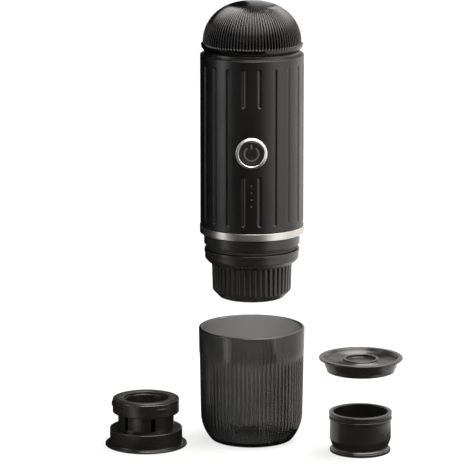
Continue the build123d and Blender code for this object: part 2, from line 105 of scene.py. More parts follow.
def add(tree, kind, *sockets, named=None, **settings):
    """Adds a node. Sockets fill its inputs in order, and named fills them by name. A node that is given as a
    value stands for its first output."""
    node = tree.nodes.new(kind)
    for option, value in settings.items():
        setattr(node, option, value)
    filled = list(enumerate(sockets)) + list((named or {}).items())
    for socket, value in filled:
        if isinstance(value, bpy.types.Node):
            value = next(o for o in value.outputs if o.enabled)
        if isinstance(value, bpy.types.NodeSocket):
            tree.links.new(value, node.inputs[socket])
        elif value is not None:
            node.inputs[socket].default_value = value
    return node


def chain(tree, kind, value, *steps):
    """Passes a value through nodes of a kind, one for each step of an operation and its other inputs."""
    for operation, *others in steps:
        value = add(tree, kind, value, *others, operation=operation)
    return value


def linear(colour):
    """An sRGB hex colour as the linear values that a shader takes."""
    channels = [int(colour[i:i + 2], 16) / 255 for i in (1, 3, 5)]
    return [c / 12.92 if c <= 0.04045 else ((c + 0.055) / 1.055) ** 2.4 for c in channels] + [1.0]


def empty_tree(holder):
    """The tree of a new material or world, with no node in it."""
    holder.use_nodes = True
    holder.node_tree.nodes.clear()
    return holder.node_tree


def material(name, colour, **values):
    """A material with one Principled shader, and its values set on the shader's own sockets."""
    made = bpy.data.materials.new(name)
    made.use_nodes = True
    tree = made.node_tree
    shader = tree.nodes["Principled BSDF"]
    shader.inputs["Base Color"].default_value = linear(colour)
    made.diffuse_color = linear(colour)
    for socket, value in values.items():
        shader.inputs[socket.replace("_", " ")].default_value = value
    return made, tree, shader


def surface(tree, shader, share, colours, gloss_from, gloss, height, depth):
    """Gives a shader a colour between two by a share, an uneven gloss, and a relief in millimetres."""
    tint = add(tree, "ShaderNodeMix", data_type="RGBA", named={
        "Factor": share, "A": linear(colours[0]), "B": linear(colours[1])})
    tree.links.new(tint.outputs["Result"], shader.inputs["Base Color"])
    rough = add(tree, "ShaderNodeMapRange", gloss_from, 0.3, 0.7, *gloss)
    tree.links.new(rough.outputs["Result"], shader.inputs["Roughness"])
    bump = add(tree, "ShaderNodeBump", named={"Strength": 1.0, "Distance": depth * MM, "Height": height})
    tree.links.new(bump.outputs["Normal"], shader.inputs["Normal"])


def grained(name, colour, pale, rough, grain, depth, mottle=0.35, **values):
    """Moulded stock: an even grain in the surface, and a slow drift of colour and gloss as the melt set."""
    made, tree, shader = material(name, colour, **values)
    place = add(tree, "ShaderNodeTexCoord").outputs["Object"]
    fine = add(tree, "ShaderNodeTexNoise", named={
        "Vector": place, "Scale": 1 / (grain * MM), "Detail": 3.0, "Roughness": 0.6})
    slow = add(tree, "ShaderNodeTexNoise", named={
        "Vector": place, "Scale": 1 / (26 * MM), "Detail": 4.0, "Roughness": 0.55})
    drift = add(tree, "ShaderNodeMapRange", slow.outputs["Fac"], 0.35, 0.65, 0.0, mottle)
    surface(tree, shader, drift, (colour, pale), slow.outputs["Fac"], (rough * 0.9, rough * 1.1),
            fine.outputs["Fac"], depth)
    return made


def turned_metal(name, colour, dark, rough, line, depth, **values):
    """Metal brushed round the upright axis: fine scratches that run round it, uneven in gloss and tone."""
    made, tree, shader = material(name, colour, Metallic=1.0, **values)
    place = add(tree, "ShaderNodeTexCoord").outputs["Object"]
    apart = add(tree, "ShaderNodeSeparateXYZ", place)
    radius = add(tree, VECTOR_MATH, place, (1.0, 1.0, 0.0), operation="MULTIPLY")
    radius = add(tree, VECTOR_MATH, radius, operation="LENGTH").outputs["Value"]
    along = add(tree, "ShaderNodeCombineXYZ", radius, 0.0, apart.outputs["Z"])
    lines = add(tree, "ShaderNodeTexNoise", named={
        "Vector": along, "Scale": 1 / (line * MM), "Detail": 4.0, "Roughness": 0.7})
    cloud = add(tree, "ShaderNodeTexNoise", named={"Vector": place, "Scale": 1 / (9 * MM), "Detail": 2.0})
    mixed = add(tree, "ShaderNodeMix", data_type="FLOAT", named={
        "Factor": 0.3, "A": lines.outputs["Fac"], "B": cloud.outputs["Fac"]}).outputs["Result"]
    share = add(tree, "ShaderNodeMapRange", mixed, 0.35, 0.65, 0.0, 1.0)
    surface(tree, shader, share, (dark, colour), mixed, (rough * 1.25, rough * 0.8),
            lines.outputs["Fac"], depth)
    if "Anisotropic" in values:
        run = add(tree, "ShaderNodeTangent", direction_type="RADIAL", axis="Z")
        tree.links.new(run.outputs["Tangent"], shader.inputs["Tangent"])
    return made


# Soft-touch lacquer over moulded ABS: matt and nearly without glare, with a faint mottle. Its real grain of
# 0.2 mm is too fine to show, so it is drawn at 1.1 mm.
soft_touch = grained("soft_touch_lacquer", "#0c0b0b", "#100f0e", 0.37, 1.1, 0.012, IOR=1.46)
# Polished ribs of moulded ABS: a satin that draws a thin bright line down each rib.
satin_lid = grained("satin_moulded_ABS", "#080808", "#0b0b0a", 0.17, 0.9, 0.003, IOR=1.5)
# Spark-eroded ABS of the small parts: an even satin with a slow drift of grey.
black_abs = grained("spark_eroded_ABS", "#1f1e1d", "#242322", 0.29, 0.9, 0.008, IOR=1.5)
# Moulded silicone: a little deeper black, and dull.
black_silicone = grained("moulded_silicone", "#1c1b1a", "#242322", 0.5, 0.8, 0.01, IOR=1.45)
# Extruded silicone tube: milky, with light soaking into its wall.
milky_silicone = grained("extruded_silicone_tube", "#dcdad3", "#cfcdc4", 0.45, 1.5, 0.01,
                         Subsurface_Weight=0.2)
# Lacquered cap of the button: a quiet satin, a little glossier than the shell.
cap_lacquer = grained("lacquered_button_cap", "#201f1e", "#272625", 0.34, 0.9, 0.01, IOR=1.46)
# Solder mask printed on a board: green, with an uneven gloss.
board_mask = grained("solder_mask_on_board", "#0f4a2b", "#0c3d24", 0.35, 1.2, 0.01)
# Shrink sleeve on the cells: blue film drawn tight, faintly rippled.
cell_sleeve = grained("shrink_sleeve_on_cells", "#23599a", "#1d4d88", 0.33, 3.0, 0.02)
# Glass-filled nylon, moulded: near black and dry, with a skin that isn't quite smooth.
nylon_plate = grained("glass_filled_nylon", "#100f0f", "#171515", 0.38, 0.8, 0.02)

# Stainless steel brushed round: long soft glints that follow the ring.
ring_steel = turned_metal("brushed_stainless_steel", "#c9c6c1", "#b0ada9", 0.34, 0.35, 0.002,
                          Anisotropic=0.4, Anisotropic_Rotation=0.25)
# Deep-drawn stainless steel of the tank: grey, with faint draw lines.
tank_steel = turned_metal("deep_drawn_stainless_steel", "#c4c3c0", "#a6a5a3", 0.34, 0.8, 0.006)
# Etched stainless sheet of the screens and plates: an even, flat grey.
screen_steel = turned_metal("etched_stainless_sheet", "#b9b8b5", "#9d9c99", 0.38, 0.6, 0.004)
# Cast aluminium of the heater: light grey and matt, with a coarse skin.
cast_aluminium = turned_metal("cast_aluminium", "#a8a9aa", "#909192", 0.5, 1.6, 0.02)
# Zinc-plated steel can of the motor: a cool grey, fairly bright.
motor_steel = turned_metal("zinc_plated_motor_can", "#b4b5b6", "#9a9b9d", 0.3, 1.2, 0.004)
# Stamped and nickel-plated shell of the socket: smooth and bright.
port_steel = turned_metal("stamped_nickel_plate", "#c6c5c2", "#aaa9a6", 0.25, 0.5, 0.003)
# Chrome of the button's ring: bright, with a satin haze that spreads its lights.
bright_chrome = grained("bright_chrome_plate", "#dddcda", "#e6e5e3", 0.36, 1.2, 0.0004, Metallic=1.0)


def smoked_resin():
    """Smoke-grey copolyester, injection moulded: clear, and darker the more of it the eye looks through."""
    made, tree, shader = material("smoked_copolyester", "#f4f3f2", IOR=1.5, Transmission_Weight=0.986,
                                  Roughness=0.08)
    place = add(tree, "ShaderNodeTexCoord").outputs["Object"]
    haze = add(tree, "ShaderNodeTexNoise", named={"Vector": place, "Scale": 1 / (18 * MM), "Detail": 3.0})
    gloss = add(tree, "ShaderNodeMapRange", haze.outputs["Fac"], 0.3, 0.7, 0.06, 0.1)
    tree.links.new(gloss.outputs["Result"], shader.inputs["Roughness"])
    # A wall of 2.5 mm lets less than a fifth of the light through.
    smoke_in_depth = add(tree, "ShaderNodeVolumeAbsorption", linear("#2a2a2c"), 0.7 / MM)
    output = next(n for n in tree.nodes if n.type == "OUTPUT_MATERIAL")
    tree.links.new(smoke_in_depth.outputs["Volume"], output.inputs["Volume"])
    return made


def lamp_lens(name, colour, glow):
    """A moulded lens over a light: faintly milky, and with a glow of its own where it is lit."""
    made, tree, shader = material(name, colour, Roughness=0.6, Emission_Strength=glow)
    place = add(tree, "ShaderNodeTexCoord").outputs["Object"]
    milk = add(tree, "ShaderNodeTexNoise", named={"Vector": place, "Scale": 1 / (0.6 * MM), "Detail": 1.0})
    tint = add(tree, "ShaderNodeMix", data_type="RGBA", named={
        "Factor": milk.outputs["Fac"], "A": linear(colour), "B": linear("#4a4947")})
    tree.links.new(tint.outputs["Result"], shader.inputs["Base Color"])
    shader.inputs["Emission Color"].default_value = linear(colour)
    return made


smoke = smoked_resin()
lens_dark = lamp_lens("light_window_off", "#201f1e", 0.0)
lens_dim = lamp_lens("light_pipe_dim", "#2b2a29", 0.0)
lens_lit = lamp_lens("light_pipe_lit", "#383735", 0.01)
# The power mark is printed on the cap in mid grey ink.
mark_ink = grained("pad_printed_ink", "#595754", "#504e4b", 0.5, 0.9, 0.002)


# Meshes from points, and turned forms

def formed(name, points, faces, finish, unit=MM):
    """A piece from its points, which are in millimetres unless the unit says otherwise, and its faces."""
    mesh = bpy.data.meshes.new(name)
    mesh.from_pydata([[value * unit for value in point] for point in points], [], faces)
    mesh.materials.append(finish)
    piece = bpy.data.objects.new(name, mesh)
    bpy.context.scene.collection.objects.link(piece)
    return piece


def softened(corners, edge, closed=True):
    """An outline with each corner rounded, by its own third number or by edge, and held by short lines."""
    steps = 4
    points = []
    for i, corner in enumerate(corners):
        here = Vector(corner[:2])
        radius = corner[2] if len(corner) > 2 else edge
        at_end = not closed and i in (0, len(corners) - 1)
        back = Vector(corners[i - 1][:2]) - here
        ahead = Vector(corners[(i + 1) % len(corners)][:2]) - here
        if at_end or radius <= 0 or here.x < 0.01 or pi - back.angle(ahead) < radians(4):
            points.append(here)
            continue
        turn = pi - back.angle(ahead)
        reach = min(radius * tan(turn / 2), 0.42 * back.length, 0.42 * ahead.length)
        radius = reach / tan(turn / 2)
        start, end = here + back.normalized() * reach, here + ahead.normalized() * reach
        middle = here + (back.normalized() + ahead.normalized()).normalized() * radius / cos(turn / 2)
        held = []
        for tip, side in ((start, back), (end, ahead)):
            spare = min(0.25 * (side.length / 2 - reach), 0.35)
            held.append(tip + side.normalized() * max(spare, 0.01))
        bow = [middle + radius * (start - middle).slerp(end - middle, k / steps) for k in range(steps + 1)]
        points += [held[0], *bow, held[1]]
    return [(p.x, p.y) for p in points]


def half_circle(x, z, radius, start, parts):
    """Points of a half circle about (x, z), from a turn on."""
    turns = [start + pi * k / parts for k in range(parts + 1)]
    return [(x + radius * cos(turn), z + radius * sin(turn)) for turn in turns]


def divided(points, longest, low=-1e9, high=1e9):
    """An outline with its straight runs cut shorter than longest, between two heights."""
    result = []
    for i, (r, z) in enumerate(points):
        result.append((r, z))
        r2, z2 = points[(i + 1) % len(points)]
        if i + 1 == len(points) or min(z, z2) < low - 0.01 or max(z, z2) > high + 0.01:
            continue
        parts = int(hypot(r2 - r, z2 - z) / longest) + 1
        for k in range(1, parts):
            result.append((r + (r2 - r) * k / parts, z + (z2 - z) * k / parts))
    return result


def turned(name, outline, finish, columns=144, turns=None, place=(0.0, 0.0), axis_to_front=False):
    """A closed form turned about the upright axis at a place, from an outline of (radius, height). With its
    axis to the front, it lies on the button's axis, and its heights run forwards."""
    area = sum(a[0] * b[1] - b[0] * a[1] for a, b in zip(outline, outline[1:] + outline[:1]))
    if area < 0:
        outline = outline[::-1]
    turns = turns or [2 * pi * i / columns for i in range(columns)]
    points, rows = [], []
    for r, z in outline:
        if r < 1e-4:
            rows.append([len(points)] * len(turns))
            points.append((place[0], place[1], z))
            continue
        rows.append(list(range(len(points), len(points) + len(turns))))
        points += [(place[0] + r * cos(turn), place[1] + r * sin(turn), z) for turn in turns]
    faces = []
    for i, low in enumerate(rows):
        high = rows[(i + 1) % len(rows)]
        if low[0] == low[-1] and high[0] == high[-1]:
            continue
        for j in range(len(turns)):
            k = (j + 1) % len(turns)
            corners = [low[j], low[k], high[k], high[j]]
            faces.append(list(dict.fromkeys(corners)))
    if axis_to_front:
        points = [(x, -z, y + BUTTON_HEIGHT) for x, y, z in points]
    piece = formed(name, points, faces, finish)
    piece.data.shade_smooth()
    return piece


def shaped(piece, tree=None, sizes=None, crease=None):
    """Runs a tree of nodes, or the modifiers that a piece has, and keeps the result as a plain mesh."""
    if tree:
        modifier = piece.modifiers.new("shape", "NODES")
        modifier.node_group = tree
        for socket in tree.interface.items_tree:
            if socket.in_out == "INPUT" and socket.name in (sizes or {}):
                modifier[socket.identifier] = sizes[socket.name]
    evaluated = piece.evaluated_get(bpy.context.evaluated_depsgraph_get())
    mesh = bpy.data.meshes.new_from_object(evaluated)
    piece.modifiers.clear()
    piece.data = mesh
    if crease:
        mesh.set_sharp_from_angle(angle=radians(crease))
    return piece


def cut_by(piece, crease, *cutters):
    """Cuts other forms out of a piece, and removes them."""
    for cutter in cutters:
        cut = piece.modifiers.new("cut", "BOOLEAN")
        cut.object = cutter
        cut.solver = "EXACT"
    shaped(piece, crease=crease)
    for cutter in cutters:
        bpy.data.objects.remove(cutter)
    return piece


def settle(piece, body, slot, *stands_for):
    """Fixes a piece to its body and hides the solids that it stands for. The slot for its finish is not
    used.
    """
    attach(piece, body)
    if stands_for:
        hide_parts(*stands_for)


# Trees for what repeats round an axis

def form_tree(name, floats, **others):
    """A new tree of shape nodes, with these inputs after its form, and its group input and output nodes."""
    tree = bpy.data.node_groups.new(name, "GeometryNodeTree")
    tree.interface.new_socket("Form", in_out="INPUT", socket_type="NodeSocketGeometry")
    kinds = {**others, **{socket: "Float" for socket in floats}, "Finish": "Material"}
    for socket, kind in kinds.items():
        tree.interface.new_socket(socket, in_out="INPUT", socket_type="NodeSocket" + kind)
    tree.interface.new_socket("Form", in_out="OUTPUT", socket_type="NodeSocketGeometry")
    return tree, add(tree, "NodeGroupInput").outputs, add(tree, "NodeGroupOutput")


def end_tree(tree, form, finish, output):
    """Ends a tree in real geometry with its material."""
    real = add(tree, "GeometryNodeRealizeInstances", form)
    done = add(tree, "GeometryNodeSetMaterial", named={"Geometry": real, "Material": finish})
    tree.links.new(done.outputs[0], output.inputs[0])
    return tree


def end_moved(tree, given, direction, reach, output):
    """Ends a tree that moves each point of its form along a direction by a reach."""
    offset = add(tree, VECTOR_MATH, direction, named={"Scale": reach}, operation="SCALE")
    moved = add(tree, "GeometryNodeSetPosition", given["Form"], named={"Offset": offset})
    return end_tree(tree, moved, given["Finish"], output)


def about_axis(tree):
    """Where a point lies about the upright axis: its x, y and z, and its radius as a line and a length."""
    at = add(tree, "GeometryNodeInputPosition")
    apart = add(tree, "ShaderNodeSeparateXYZ", at).outputs
    radius = add(tree, VECTOR_MATH, at, (1.0, 1.0, 0.0), operation="MULTIPLY")
    length = add(tree, VECTOR_MATH, radius, operation="LENGTH").outputs["Value"]
    return apart, radius, length


def ribs_tree():
    """Ribs down a turned form: each valley is cut towards the axis, on the outer face only, and runs out
    softly at both ends. Half round is 1 for round ribs with sharp valleys. What isn't given is 0."""
    tree, given, output = form_tree("ribs_down_a_form", (
        "Depth share", "Sharpness", "Foot", "Top", "Foot run", "Top run", "Inner radius", "Valley radius",
        "Half round"), Ribs="Int")
    apart, radius, length = about_axis(tree)
    wave = chain(tree, MATH, apart["Y"], ("ARCTAN2", apart["X"]), ("MULTIPLY", given["Ribs"]), ("COSINE",))
    wave = add(tree, "ShaderNodeMapRange", wave, -1.0, 1.0, 0.0, 1.0)
    valley = chain(tree, MATH, wave, ("POWER", given["Sharpness"]))
    crown = chain(tree, MATH, 1.0, ("SUBTRACT", wave), ("POWER", 0.5))
    crease = chain(tree, MATH, 1.0, ("SUBTRACT", crown))
    valley = add(tree, "ShaderNodeMapRange", given["Half round"], 0.0, 1.0, valley, crease)
    foot_end = chain(tree, MATH, given["Foot"], ("ADD", given["Foot run"]))
    top_start = chain(tree, MATH, given["Top"], ("SUBTRACT", given["Top run"]))
    rise, fall = (
        add(tree, "ShaderNodeMapRange", apart["Z"], start, end, interpolation_type="SMOOTHSTEP")
        for start, end in ((given["Foot"], foot_end), (given["Top"], top_start)))
    outside = chain(tree, MATH, length, ("GREATER_THAN", given["Inner radius"]))
    normal = add(tree, "GeometryNodeInputNormal")
    facing = add(tree, VECTOR_MATH, normal, radius, operation="DOT_PRODUCT").outputs["Value"]
    outward = chain(tree, MATH, facing, ("GREATER_THAN", 0.0))
    left = chain(tree, MATH, given["Valley radius"], ("DIVIDE", length))
    left = chain(tree, MATH, 1.0, ("SUBTRACT", left), ("MAXIMUM", 0.0))
    parts = [("MULTIPLY", part) for part in (fall, outside, outward, valley, given["Depth share"])]
    inward = chain(tree, MATH, rise, *parts, ("MINIMUM", left), ("MULTIPLY", -1.0))
    return end_moved(tree, given, radius, inward, output)


def thread_tree():
    """A screw thread on a turned form: one start, a blunt wave that climbs once a turn by the pitch."""
    tree, given, output = form_tree("thread_round_a_form", (
        "Pitch", "Depth", "Foot", "Top", "Inner radius", "Outer radius"))
    apart, radius, length = about_axis(tree)
    away = add(tree, VECTOR_MATH, radius, operation="NORMALIZE")
    turn = chain(tree, MATH, apart["Y"], ("ARCTAN2", apart["X"]))
    wave = chain(tree, MATH, apart["Z"], ("DIVIDE", given["Pitch"]), ("MULTIPLY", 2 * pi),
                 ("SUBTRACT", turn), ("COSINE",))
    wave = add(tree, "ShaderNodeMapRange", wave, -0.5, 0.5, 0.0, 1.0, interpolation_type="SMOOTHSTEP")
    run_out = 0.8 * MM
    foot_end = chain(tree, MATH, given["Foot"], ("ADD", run_out))
    top_start = chain(tree, MATH, given["Top"], ("SUBTRACT", run_out))
    rise = add(tree, "ShaderNodeMapRange", apart["Z"], given["Foot"], foot_end)
    fall = add(tree, "ShaderNodeMapRange", apart["Z"], given["Top"], top_start)
    beyond = chain(tree, MATH, length, ("GREATER_THAN", given["Inner radius"]))
    within = chain(tree, MATH, length, ("LESS_THAN", given["Outer radius"]))
    parts = [("MULTIPLY", part) for part in (fall, beyond, within, wave, given["Depth"])]
    strength = chain(tree, MATH, rise, *parts)
    return end_moved(tree, given, away, strength, output)


def grooves_tree():
    """Grooves down the shell: a wave in depth across each, its shoulders and ends filled soft by lacquer.
    The two beside the button stop below it and start again above it."""
    tree, given, output = form_tree("grooves_down_the_shell", (
        "Width", "Depth", "Foot", "Top", "Break foot", "Break top", "Radius"), Grooves="Int")
    apart, radius, length = about_axis(tree)
    away = add(tree, VECTOR_MATH, radius, operation="NORMALIZE")
    front = chain(tree, MATH, apart["Y"], ("MULTIPLY", -1.0))
    turn = chain(tree, MATH, apart["X"], ("ARCTAN2", front))
    step = chain(tree, MATH, 2 * pi, ("DIVIDE", given["Grooves"]))
    across = chain(tree, MATH, turn, ("DIVIDE", step), ("FRACT",), ("SUBTRACT", 0.5), ("MULTIPLY", step),
                   ("MULTIPLY", given["Radius"]))
    half = chain(tree, MATH, given["Width"], ("MULTIPLY", 0.5))

    def beyond(foot, top):
        """How far a point lies above or below the middle line of a groove from foot to top."""
        top_centre = chain(tree, MATH, top, ("SUBTRACT", half))
        over = chain(tree, MATH, apart["Z"], ("SUBTRACT", top_centre))
        return chain(tree, MATH, foot, ("ADD", half), ("SUBTRACT", apart["Z"]), ("MAXIMUM", over),
                     ("MAXIMUM", 0.0))

    plain = beyond(given["Foot"], given["Top"])
    above = beyond(given["Break top"], given["Top"])
    broken = chain(tree, MATH, beyond(given["Foot"], given["Break foot"]), ("MINIMUM", above))
    beside = chain(tree, MATH, turn, ("ABSOLUTE",), ("LESS_THAN", step))
    along = add(tree, "ShaderNodeMix", data_type="FLOAT", named={"Factor": beside, "A": plain, "B": broken})
    offset = add(tree, "ShaderNodeCombineXYZ", across, along.outputs["Result"], 0.0)
    reach = add(tree, VECTOR_MATH, offset, operation="LENGTH").outputs["Value"]
    phase = add(tree, "ShaderNodeMapRange", reach, 0.0, half, 0.0, pi)
    wave = chain(tree, MATH, phase, ("COSINE",))
    cut = add(tree, "ShaderNodeMapRange", wave, -1.0, 1.0, 0.0, given["Depth"])
    limit = chain(tree, MATH, given["Radius"], ("SUBTRACT", 0.6 * MM))
    skin = chain(tree, MATH, length, ("GREATER_THAN", limit))
    inward = chain(tree, MATH, cut, ("MULTIPLY", skin), ("MULTIPLY", -1.0))
    return end_moved(tree, given, away, inward, output)


def around_tree():
    """Copies of a small form round an upright axis, evenly turned, joined to nothing."""
    tree, given, output = form_tree("copies_round_an_axis", ("First turn",), Copies="Int", Centre="Vector")
    points = add(tree, "GeometryNodePoints", named={"Count": given["Copies"]})
    index = add(tree, "GeometryNodeInputIndex")
    step = add(tree, MATH, 2 * pi, given["Copies"], operation="DIVIDE")
    turn = add(tree, MATH, index, step, given["First turn"], operation="MULTIPLY_ADD")
    turn = add(tree, "ShaderNodeCombineXYZ", 0.0, 0.0, turn)
    copies = add(tree, "GeometryNodeInstanceOnPoints", named={
        "Points": points, "Instance": given["Form"], "Rotation": turn})
    moved = add(tree, "GeometryNodeTranslateInstances", copies, named={
        "Translation": given["Centre"], "Local Space": False})
    return end_tree(tree, moved, given["Finish"], output)


def screen_tree():
    """A sheet of small tiles, each with its hole, kept only inside a round edge."""
    tree, given, output = form_tree("perforated_round_sheet", ("Pitch", "Radius"),
                                    Across="Int", Centre="Vector")
    size = chain(tree, MATH, given["Across"], ("SUBTRACT", 1.0), ("MULTIPLY", given["Pitch"]))
    grid = add(tree, "GeometryNodeMeshGrid", named={
        "Size X": size, "Size Y": size, "Vertices X": given["Across"], "Vertices Y": given["Across"]})
    at = add(tree, "GeometryNodeInputPosition")
    reach = add(tree, VECTOR_MATH, at, operation="LENGTH").outputs["Value"]
    far = add(tree, MATH, reach, given["Radius"], operation="GREATER_THAN")
    kept = add(tree, "GeometryNodeDeleteGeometry", grid.outputs["Mesh"], far)
    tiles = add(tree, "GeometryNodeInstanceOnPoints", named={"Points": kept, "Instance": given["Form"]})
    moved = add(tree, "GeometryNodeTranslateInstances", tiles, named={
        "Translation": given["Centre"], "Local Space": False})
    return end_tree(tree, moved, given["Finish"], output)


ribs = ribs_tree()
thread = thread_tree()
grooves = grooves_tree()
copies_round = around_tree()
perforated = screen_tree()


def threaded(piece, radius, pitch, depth, foot, top, finish):
    """Cuts a thread into the wall at a radius: into a bore, or by a depth under 0 into a spigot."""
    shaped(piece, thread, {
        "Pitch": pitch * MM, "Depth": depth * MM, "Foot": foot * MM, "Top": top * MM,
        "Inner radius": (radius - 0.1) * MM, "Outer radius": (radius + 0.1) * MM, "Finish": finish})


# The grooved body

def grooved_body():
    """The body shell, with grooves cut by nodes, and its holes for the button and the charging socket."""
    across = (0.0, 0.25, 0.5, 0.75, 1.0, 1.25, 1.5, 1.7, 1.85, 2.0, 2.6, 3.6, 4.8)
    mirrored = sorted({-v for v in across} | set(across))
    pitch = 2 * pi / GROOVES
    turns = []
    for i in range(GROOVES):
        centre = -pi / 2 + (i + 0.5) * pitch
        turns += [centre + v / SHELL_RADIUS for v in mirrored]
        turns.append(centre + pitch / 2)
    rows = [SHELL_FOOT + 10.0 + 5.5 * k for k in range(20)]
    for end, inwards in ((GROOVE_FOOT, 1), (BREAK_FOOT, -1), (BREAK_TOP, 1), (GROOVE_TOP, -1)):
        rows += [end + 1.45 * inwards + 0.19 * k for k in range(-10, 11)]
    rows = sorted(h for h in rows if SHELL_FOOT + 1.5 < h < SHELL_TOP - 2.2)
    heights = rows[:1]
    for height in rows[1:]:
        if height - heights[-1] > 0.12:
            heights.append(height)
    ends_and_bore = softened([
        (SHELL_RADIUS, SHELL_TOP - 3), (SHELL_RADIUS, SHELL_TOP, 0.5), (SHELL_BORE, SHELL_TOP, 0.3),
        (SHELL_BORE, SHELL_FOOT, 0.2), (SHELL_RADIUS, SHELL_FOOT, 0.45), (SHELL_RADIUS, SHELL_FOOT + 2)],
        0.3, closed=False)[1:-1]
    outline = ends_and_bore + [(SHELL_RADIUS, height) for height in heights]
    body = turned("grooved_body", outline, soft_touch, turns=turns)
    shaped(body, grooves, {
        "Grooves": GROOVES, "Width": GROOVE_WIDTH * MM, "Depth": GROOVE_DEPTH * MM,
        "Foot": GROOVE_FOOT * MM, "Top": GROOVE_TOP * MM, "Break foot": BREAK_FOOT * MM,
        "Break top": BREAK_TOP * MM, "Radius": SHELL_RADIUS * MM, "Finish": soft_touch})
    button_hole = turned("button_hole", [(0, 30), (11.0, 30), (11.0, 40), (0, 40)], soft_touch,
                         axis_to_front=True)
    return cut_by(body, 38, button_hole, socket_hole())


def socket_hole():
    """The cutter for the charging socket's hole: an upright bar with round ends, pointing backwards."""
    half_width, half_height = 1.9, 4.8
    rise = half_height - half_width
    ring = half_circle(0.0, SOCKET_HEIGHT + rise, half_width, 0.0, 10)
    ring += half_circle(0.0, SOCKET_HEIGHT - rise, half_width, pi, 10)
    n = len(ring)
    faces = [list(range(n)), list(range(2 * n - 1, n - 1, -1))]
    faces += [[i, i + n, (i + 1) % n + n, (i + 1) % n] for i in range(n)]
    return formed("socket_hole", [(x, y, z) for y in (34.0, 40.0) for x, z in ring], faces, soft_touch)


settle(grooved_body(), "machine", "body_coat", "body_shell")


# Steel ring, lower housing and collar

settle(turned("steel_ring_band", softened([
    (34.9, RING_FOOT), (37.7, RING_FOOT, 0.2), (37.7, SHELL_FOOT, 0.15), (34.9, SHELL_FOOT)], 0.15),
    ring_steel, columns=192), "machine", "ring_steel", "steel_ring")

housing = turned("lower_neck", divided(softened([
    (NECK_BORE, NECK_FOOT, 0.25), (34.7, NECK_FOOT, 0.45), (34.7, NECK_TOP, 0.2), (36.0, NECK_TOP, 0.35),
    (36.0, RING_FOOT, 0.1), (34.8, RING_FOOT, 0.1), (34.8, 168.0, 0.3), (32.6, 168.0, 0.3),
    (32.6, DECK_TOP, 0.2), (0, DECK_TOP), (0, DECK_FOOT), (NECK_BORE, DECK_FOOT, 0.2)], 0.2),
    0.3, NECK_FOOT, DECK_FOOT - 1), black_abs, columns=160)
threaded(housing, NECK_BORE, 2.6, 0.5, NECK_FOOT + 0.6, DECK_FOOT - 1, black_abs)
settle(housing, "machine", "black_plastic", "lower_housing")

collar = turned("neck_collar", divided(softened([
    (28.5, 268.0), (35.0, 268.0), (35.0, SHELL_TOP, 0.1), (36.0, SHELL_TOP, 0.2), (36.0, COLLAR_STEP, 0.25),
    (34.4, COLLAR_STEP, 0.2), (34.4, COLLAR_TOP, 0.3), (COLLAR_NECK_RADIUS, COLLAR_TOP, 0.15),
    (COLLAR_NECK_RADIUS, SPIGOT_TOP, 0.4), (28.5, SPIGOT_TOP, 0.2)], 0.2),
    0.3, COLLAR_TOP, SPIGOT_TOP), nylon_plate, columns=160)
threaded(collar, COLLAR_NECK_RADIUS, 2.4, -0.55, COLLAR_TOP + 0.3, SPIGOT_TOP - 0.4, nylon_plate)
settle(collar, "machine", "black_plastic", "top_collar")

settle(turned("drawn_tank", softened([
    (0, TANK_FOOT), (28.2, TANK_FOOT, 2.4), (28.2, SPIGOT_TOP, 0.3), (31.6, SPIGOT_TOP, 0.2),
    (31.6, SPIGOT_TOP + 0.8, 0.3), (27.4, SPIGOT_TOP + 0.8, 0.6), (27.4, TANK_FOOT + 0.8, 1.8),
    (0, TANK_FOOT + 0.8)], 0.3), tank_steel), "machine", "tank_steel", "water_tank")


# Lid

def dome_point(share, inset=0.0):
    """A point (radius, height) of the dome at a share of its height: a superellipse, fuller than a ball."""
    fullness = 2.16
    radius = (RIB_RADIUS - inset) * (1 - share**fullness) ** (1 / fullness)
    return radius, DOME_FOOT + (DOME_TOP - DOME_FOOT - inset) * share


def ribbed_dome():
    """The lid: a ribbed dome that turns smooth at its crown, on a rounded lip round a plain bore."""
    outer = [dome_point(sin(pi / 2 * k / 46)) for k in range(45, 0, -1)]
    inner = [dome_point(share, 2.9) for share in (0.45, 0.58, 0.7, 0.8, 0.88)]
    lip = divided(softened([
        (RIB_RADIUS, DOME_FOOT, 0.1), (36.7, DOME_FOOT - 0.4, 0.02), (36.35, DOME_FOOT - 2.4, 0.6),
        (34.6, LID_FOOT, 0.3), (33.2, LID_FOOT, 0.3), (33.2, SEAL_TOP + 0.3, 0.2),
        (31.0, SEAL_TOP + 0.3, 0.5)], 0.3, closed=False), 0.35, LID_FOOT + 0.8, SEAL_TOP)
    outline = lip + inner + [(0, inner[-1][1] + 0.6), (0, DOME_TOP)] + outer
    return shaped(turned("ribbed_dome", outline, satin_lid, columns=RIBS * 10), ribs, {
        "Ribs": RIBS, "Depth share": 1.9 / RIB_RADIUS, "Sharpness": 1.8, "Foot": (DOME_FOOT - 0.3) * MM,
        "Top": (DOME_FOOT + 29.6) * MM, "Foot run": 0.25 * MM, "Top run": 4.6 * MM, "Finish": satin_lid})


settle(ribbed_dome(), "lid", "lid_plastic", "lid_dome")
settle(turned("sealing_disc", softened([
    (0, SEAL_FOOT - 1.6), (26.0, SEAL_FOOT - 1.6, 0.6), (26.0, SEAL_FOOT, 0.3), (27.6, SEAL_FOOT, 0.1),
    (28.0, SEAL_FOOT - 0.2, 0.2), (28.8, SEAL_FOOT - 0.2, 0.2), (29.2, SEAL_FOOT, 0.1),
    (32.9, SEAL_FOOT, 0.6), (32.9, SEAL_TOP, 0.6), (0, SEAL_TOP)], 0.2), black_silicone),
    "lid_seal", "seal_silicone", "lid_seal")


# Button, its bright ring, mark and lights

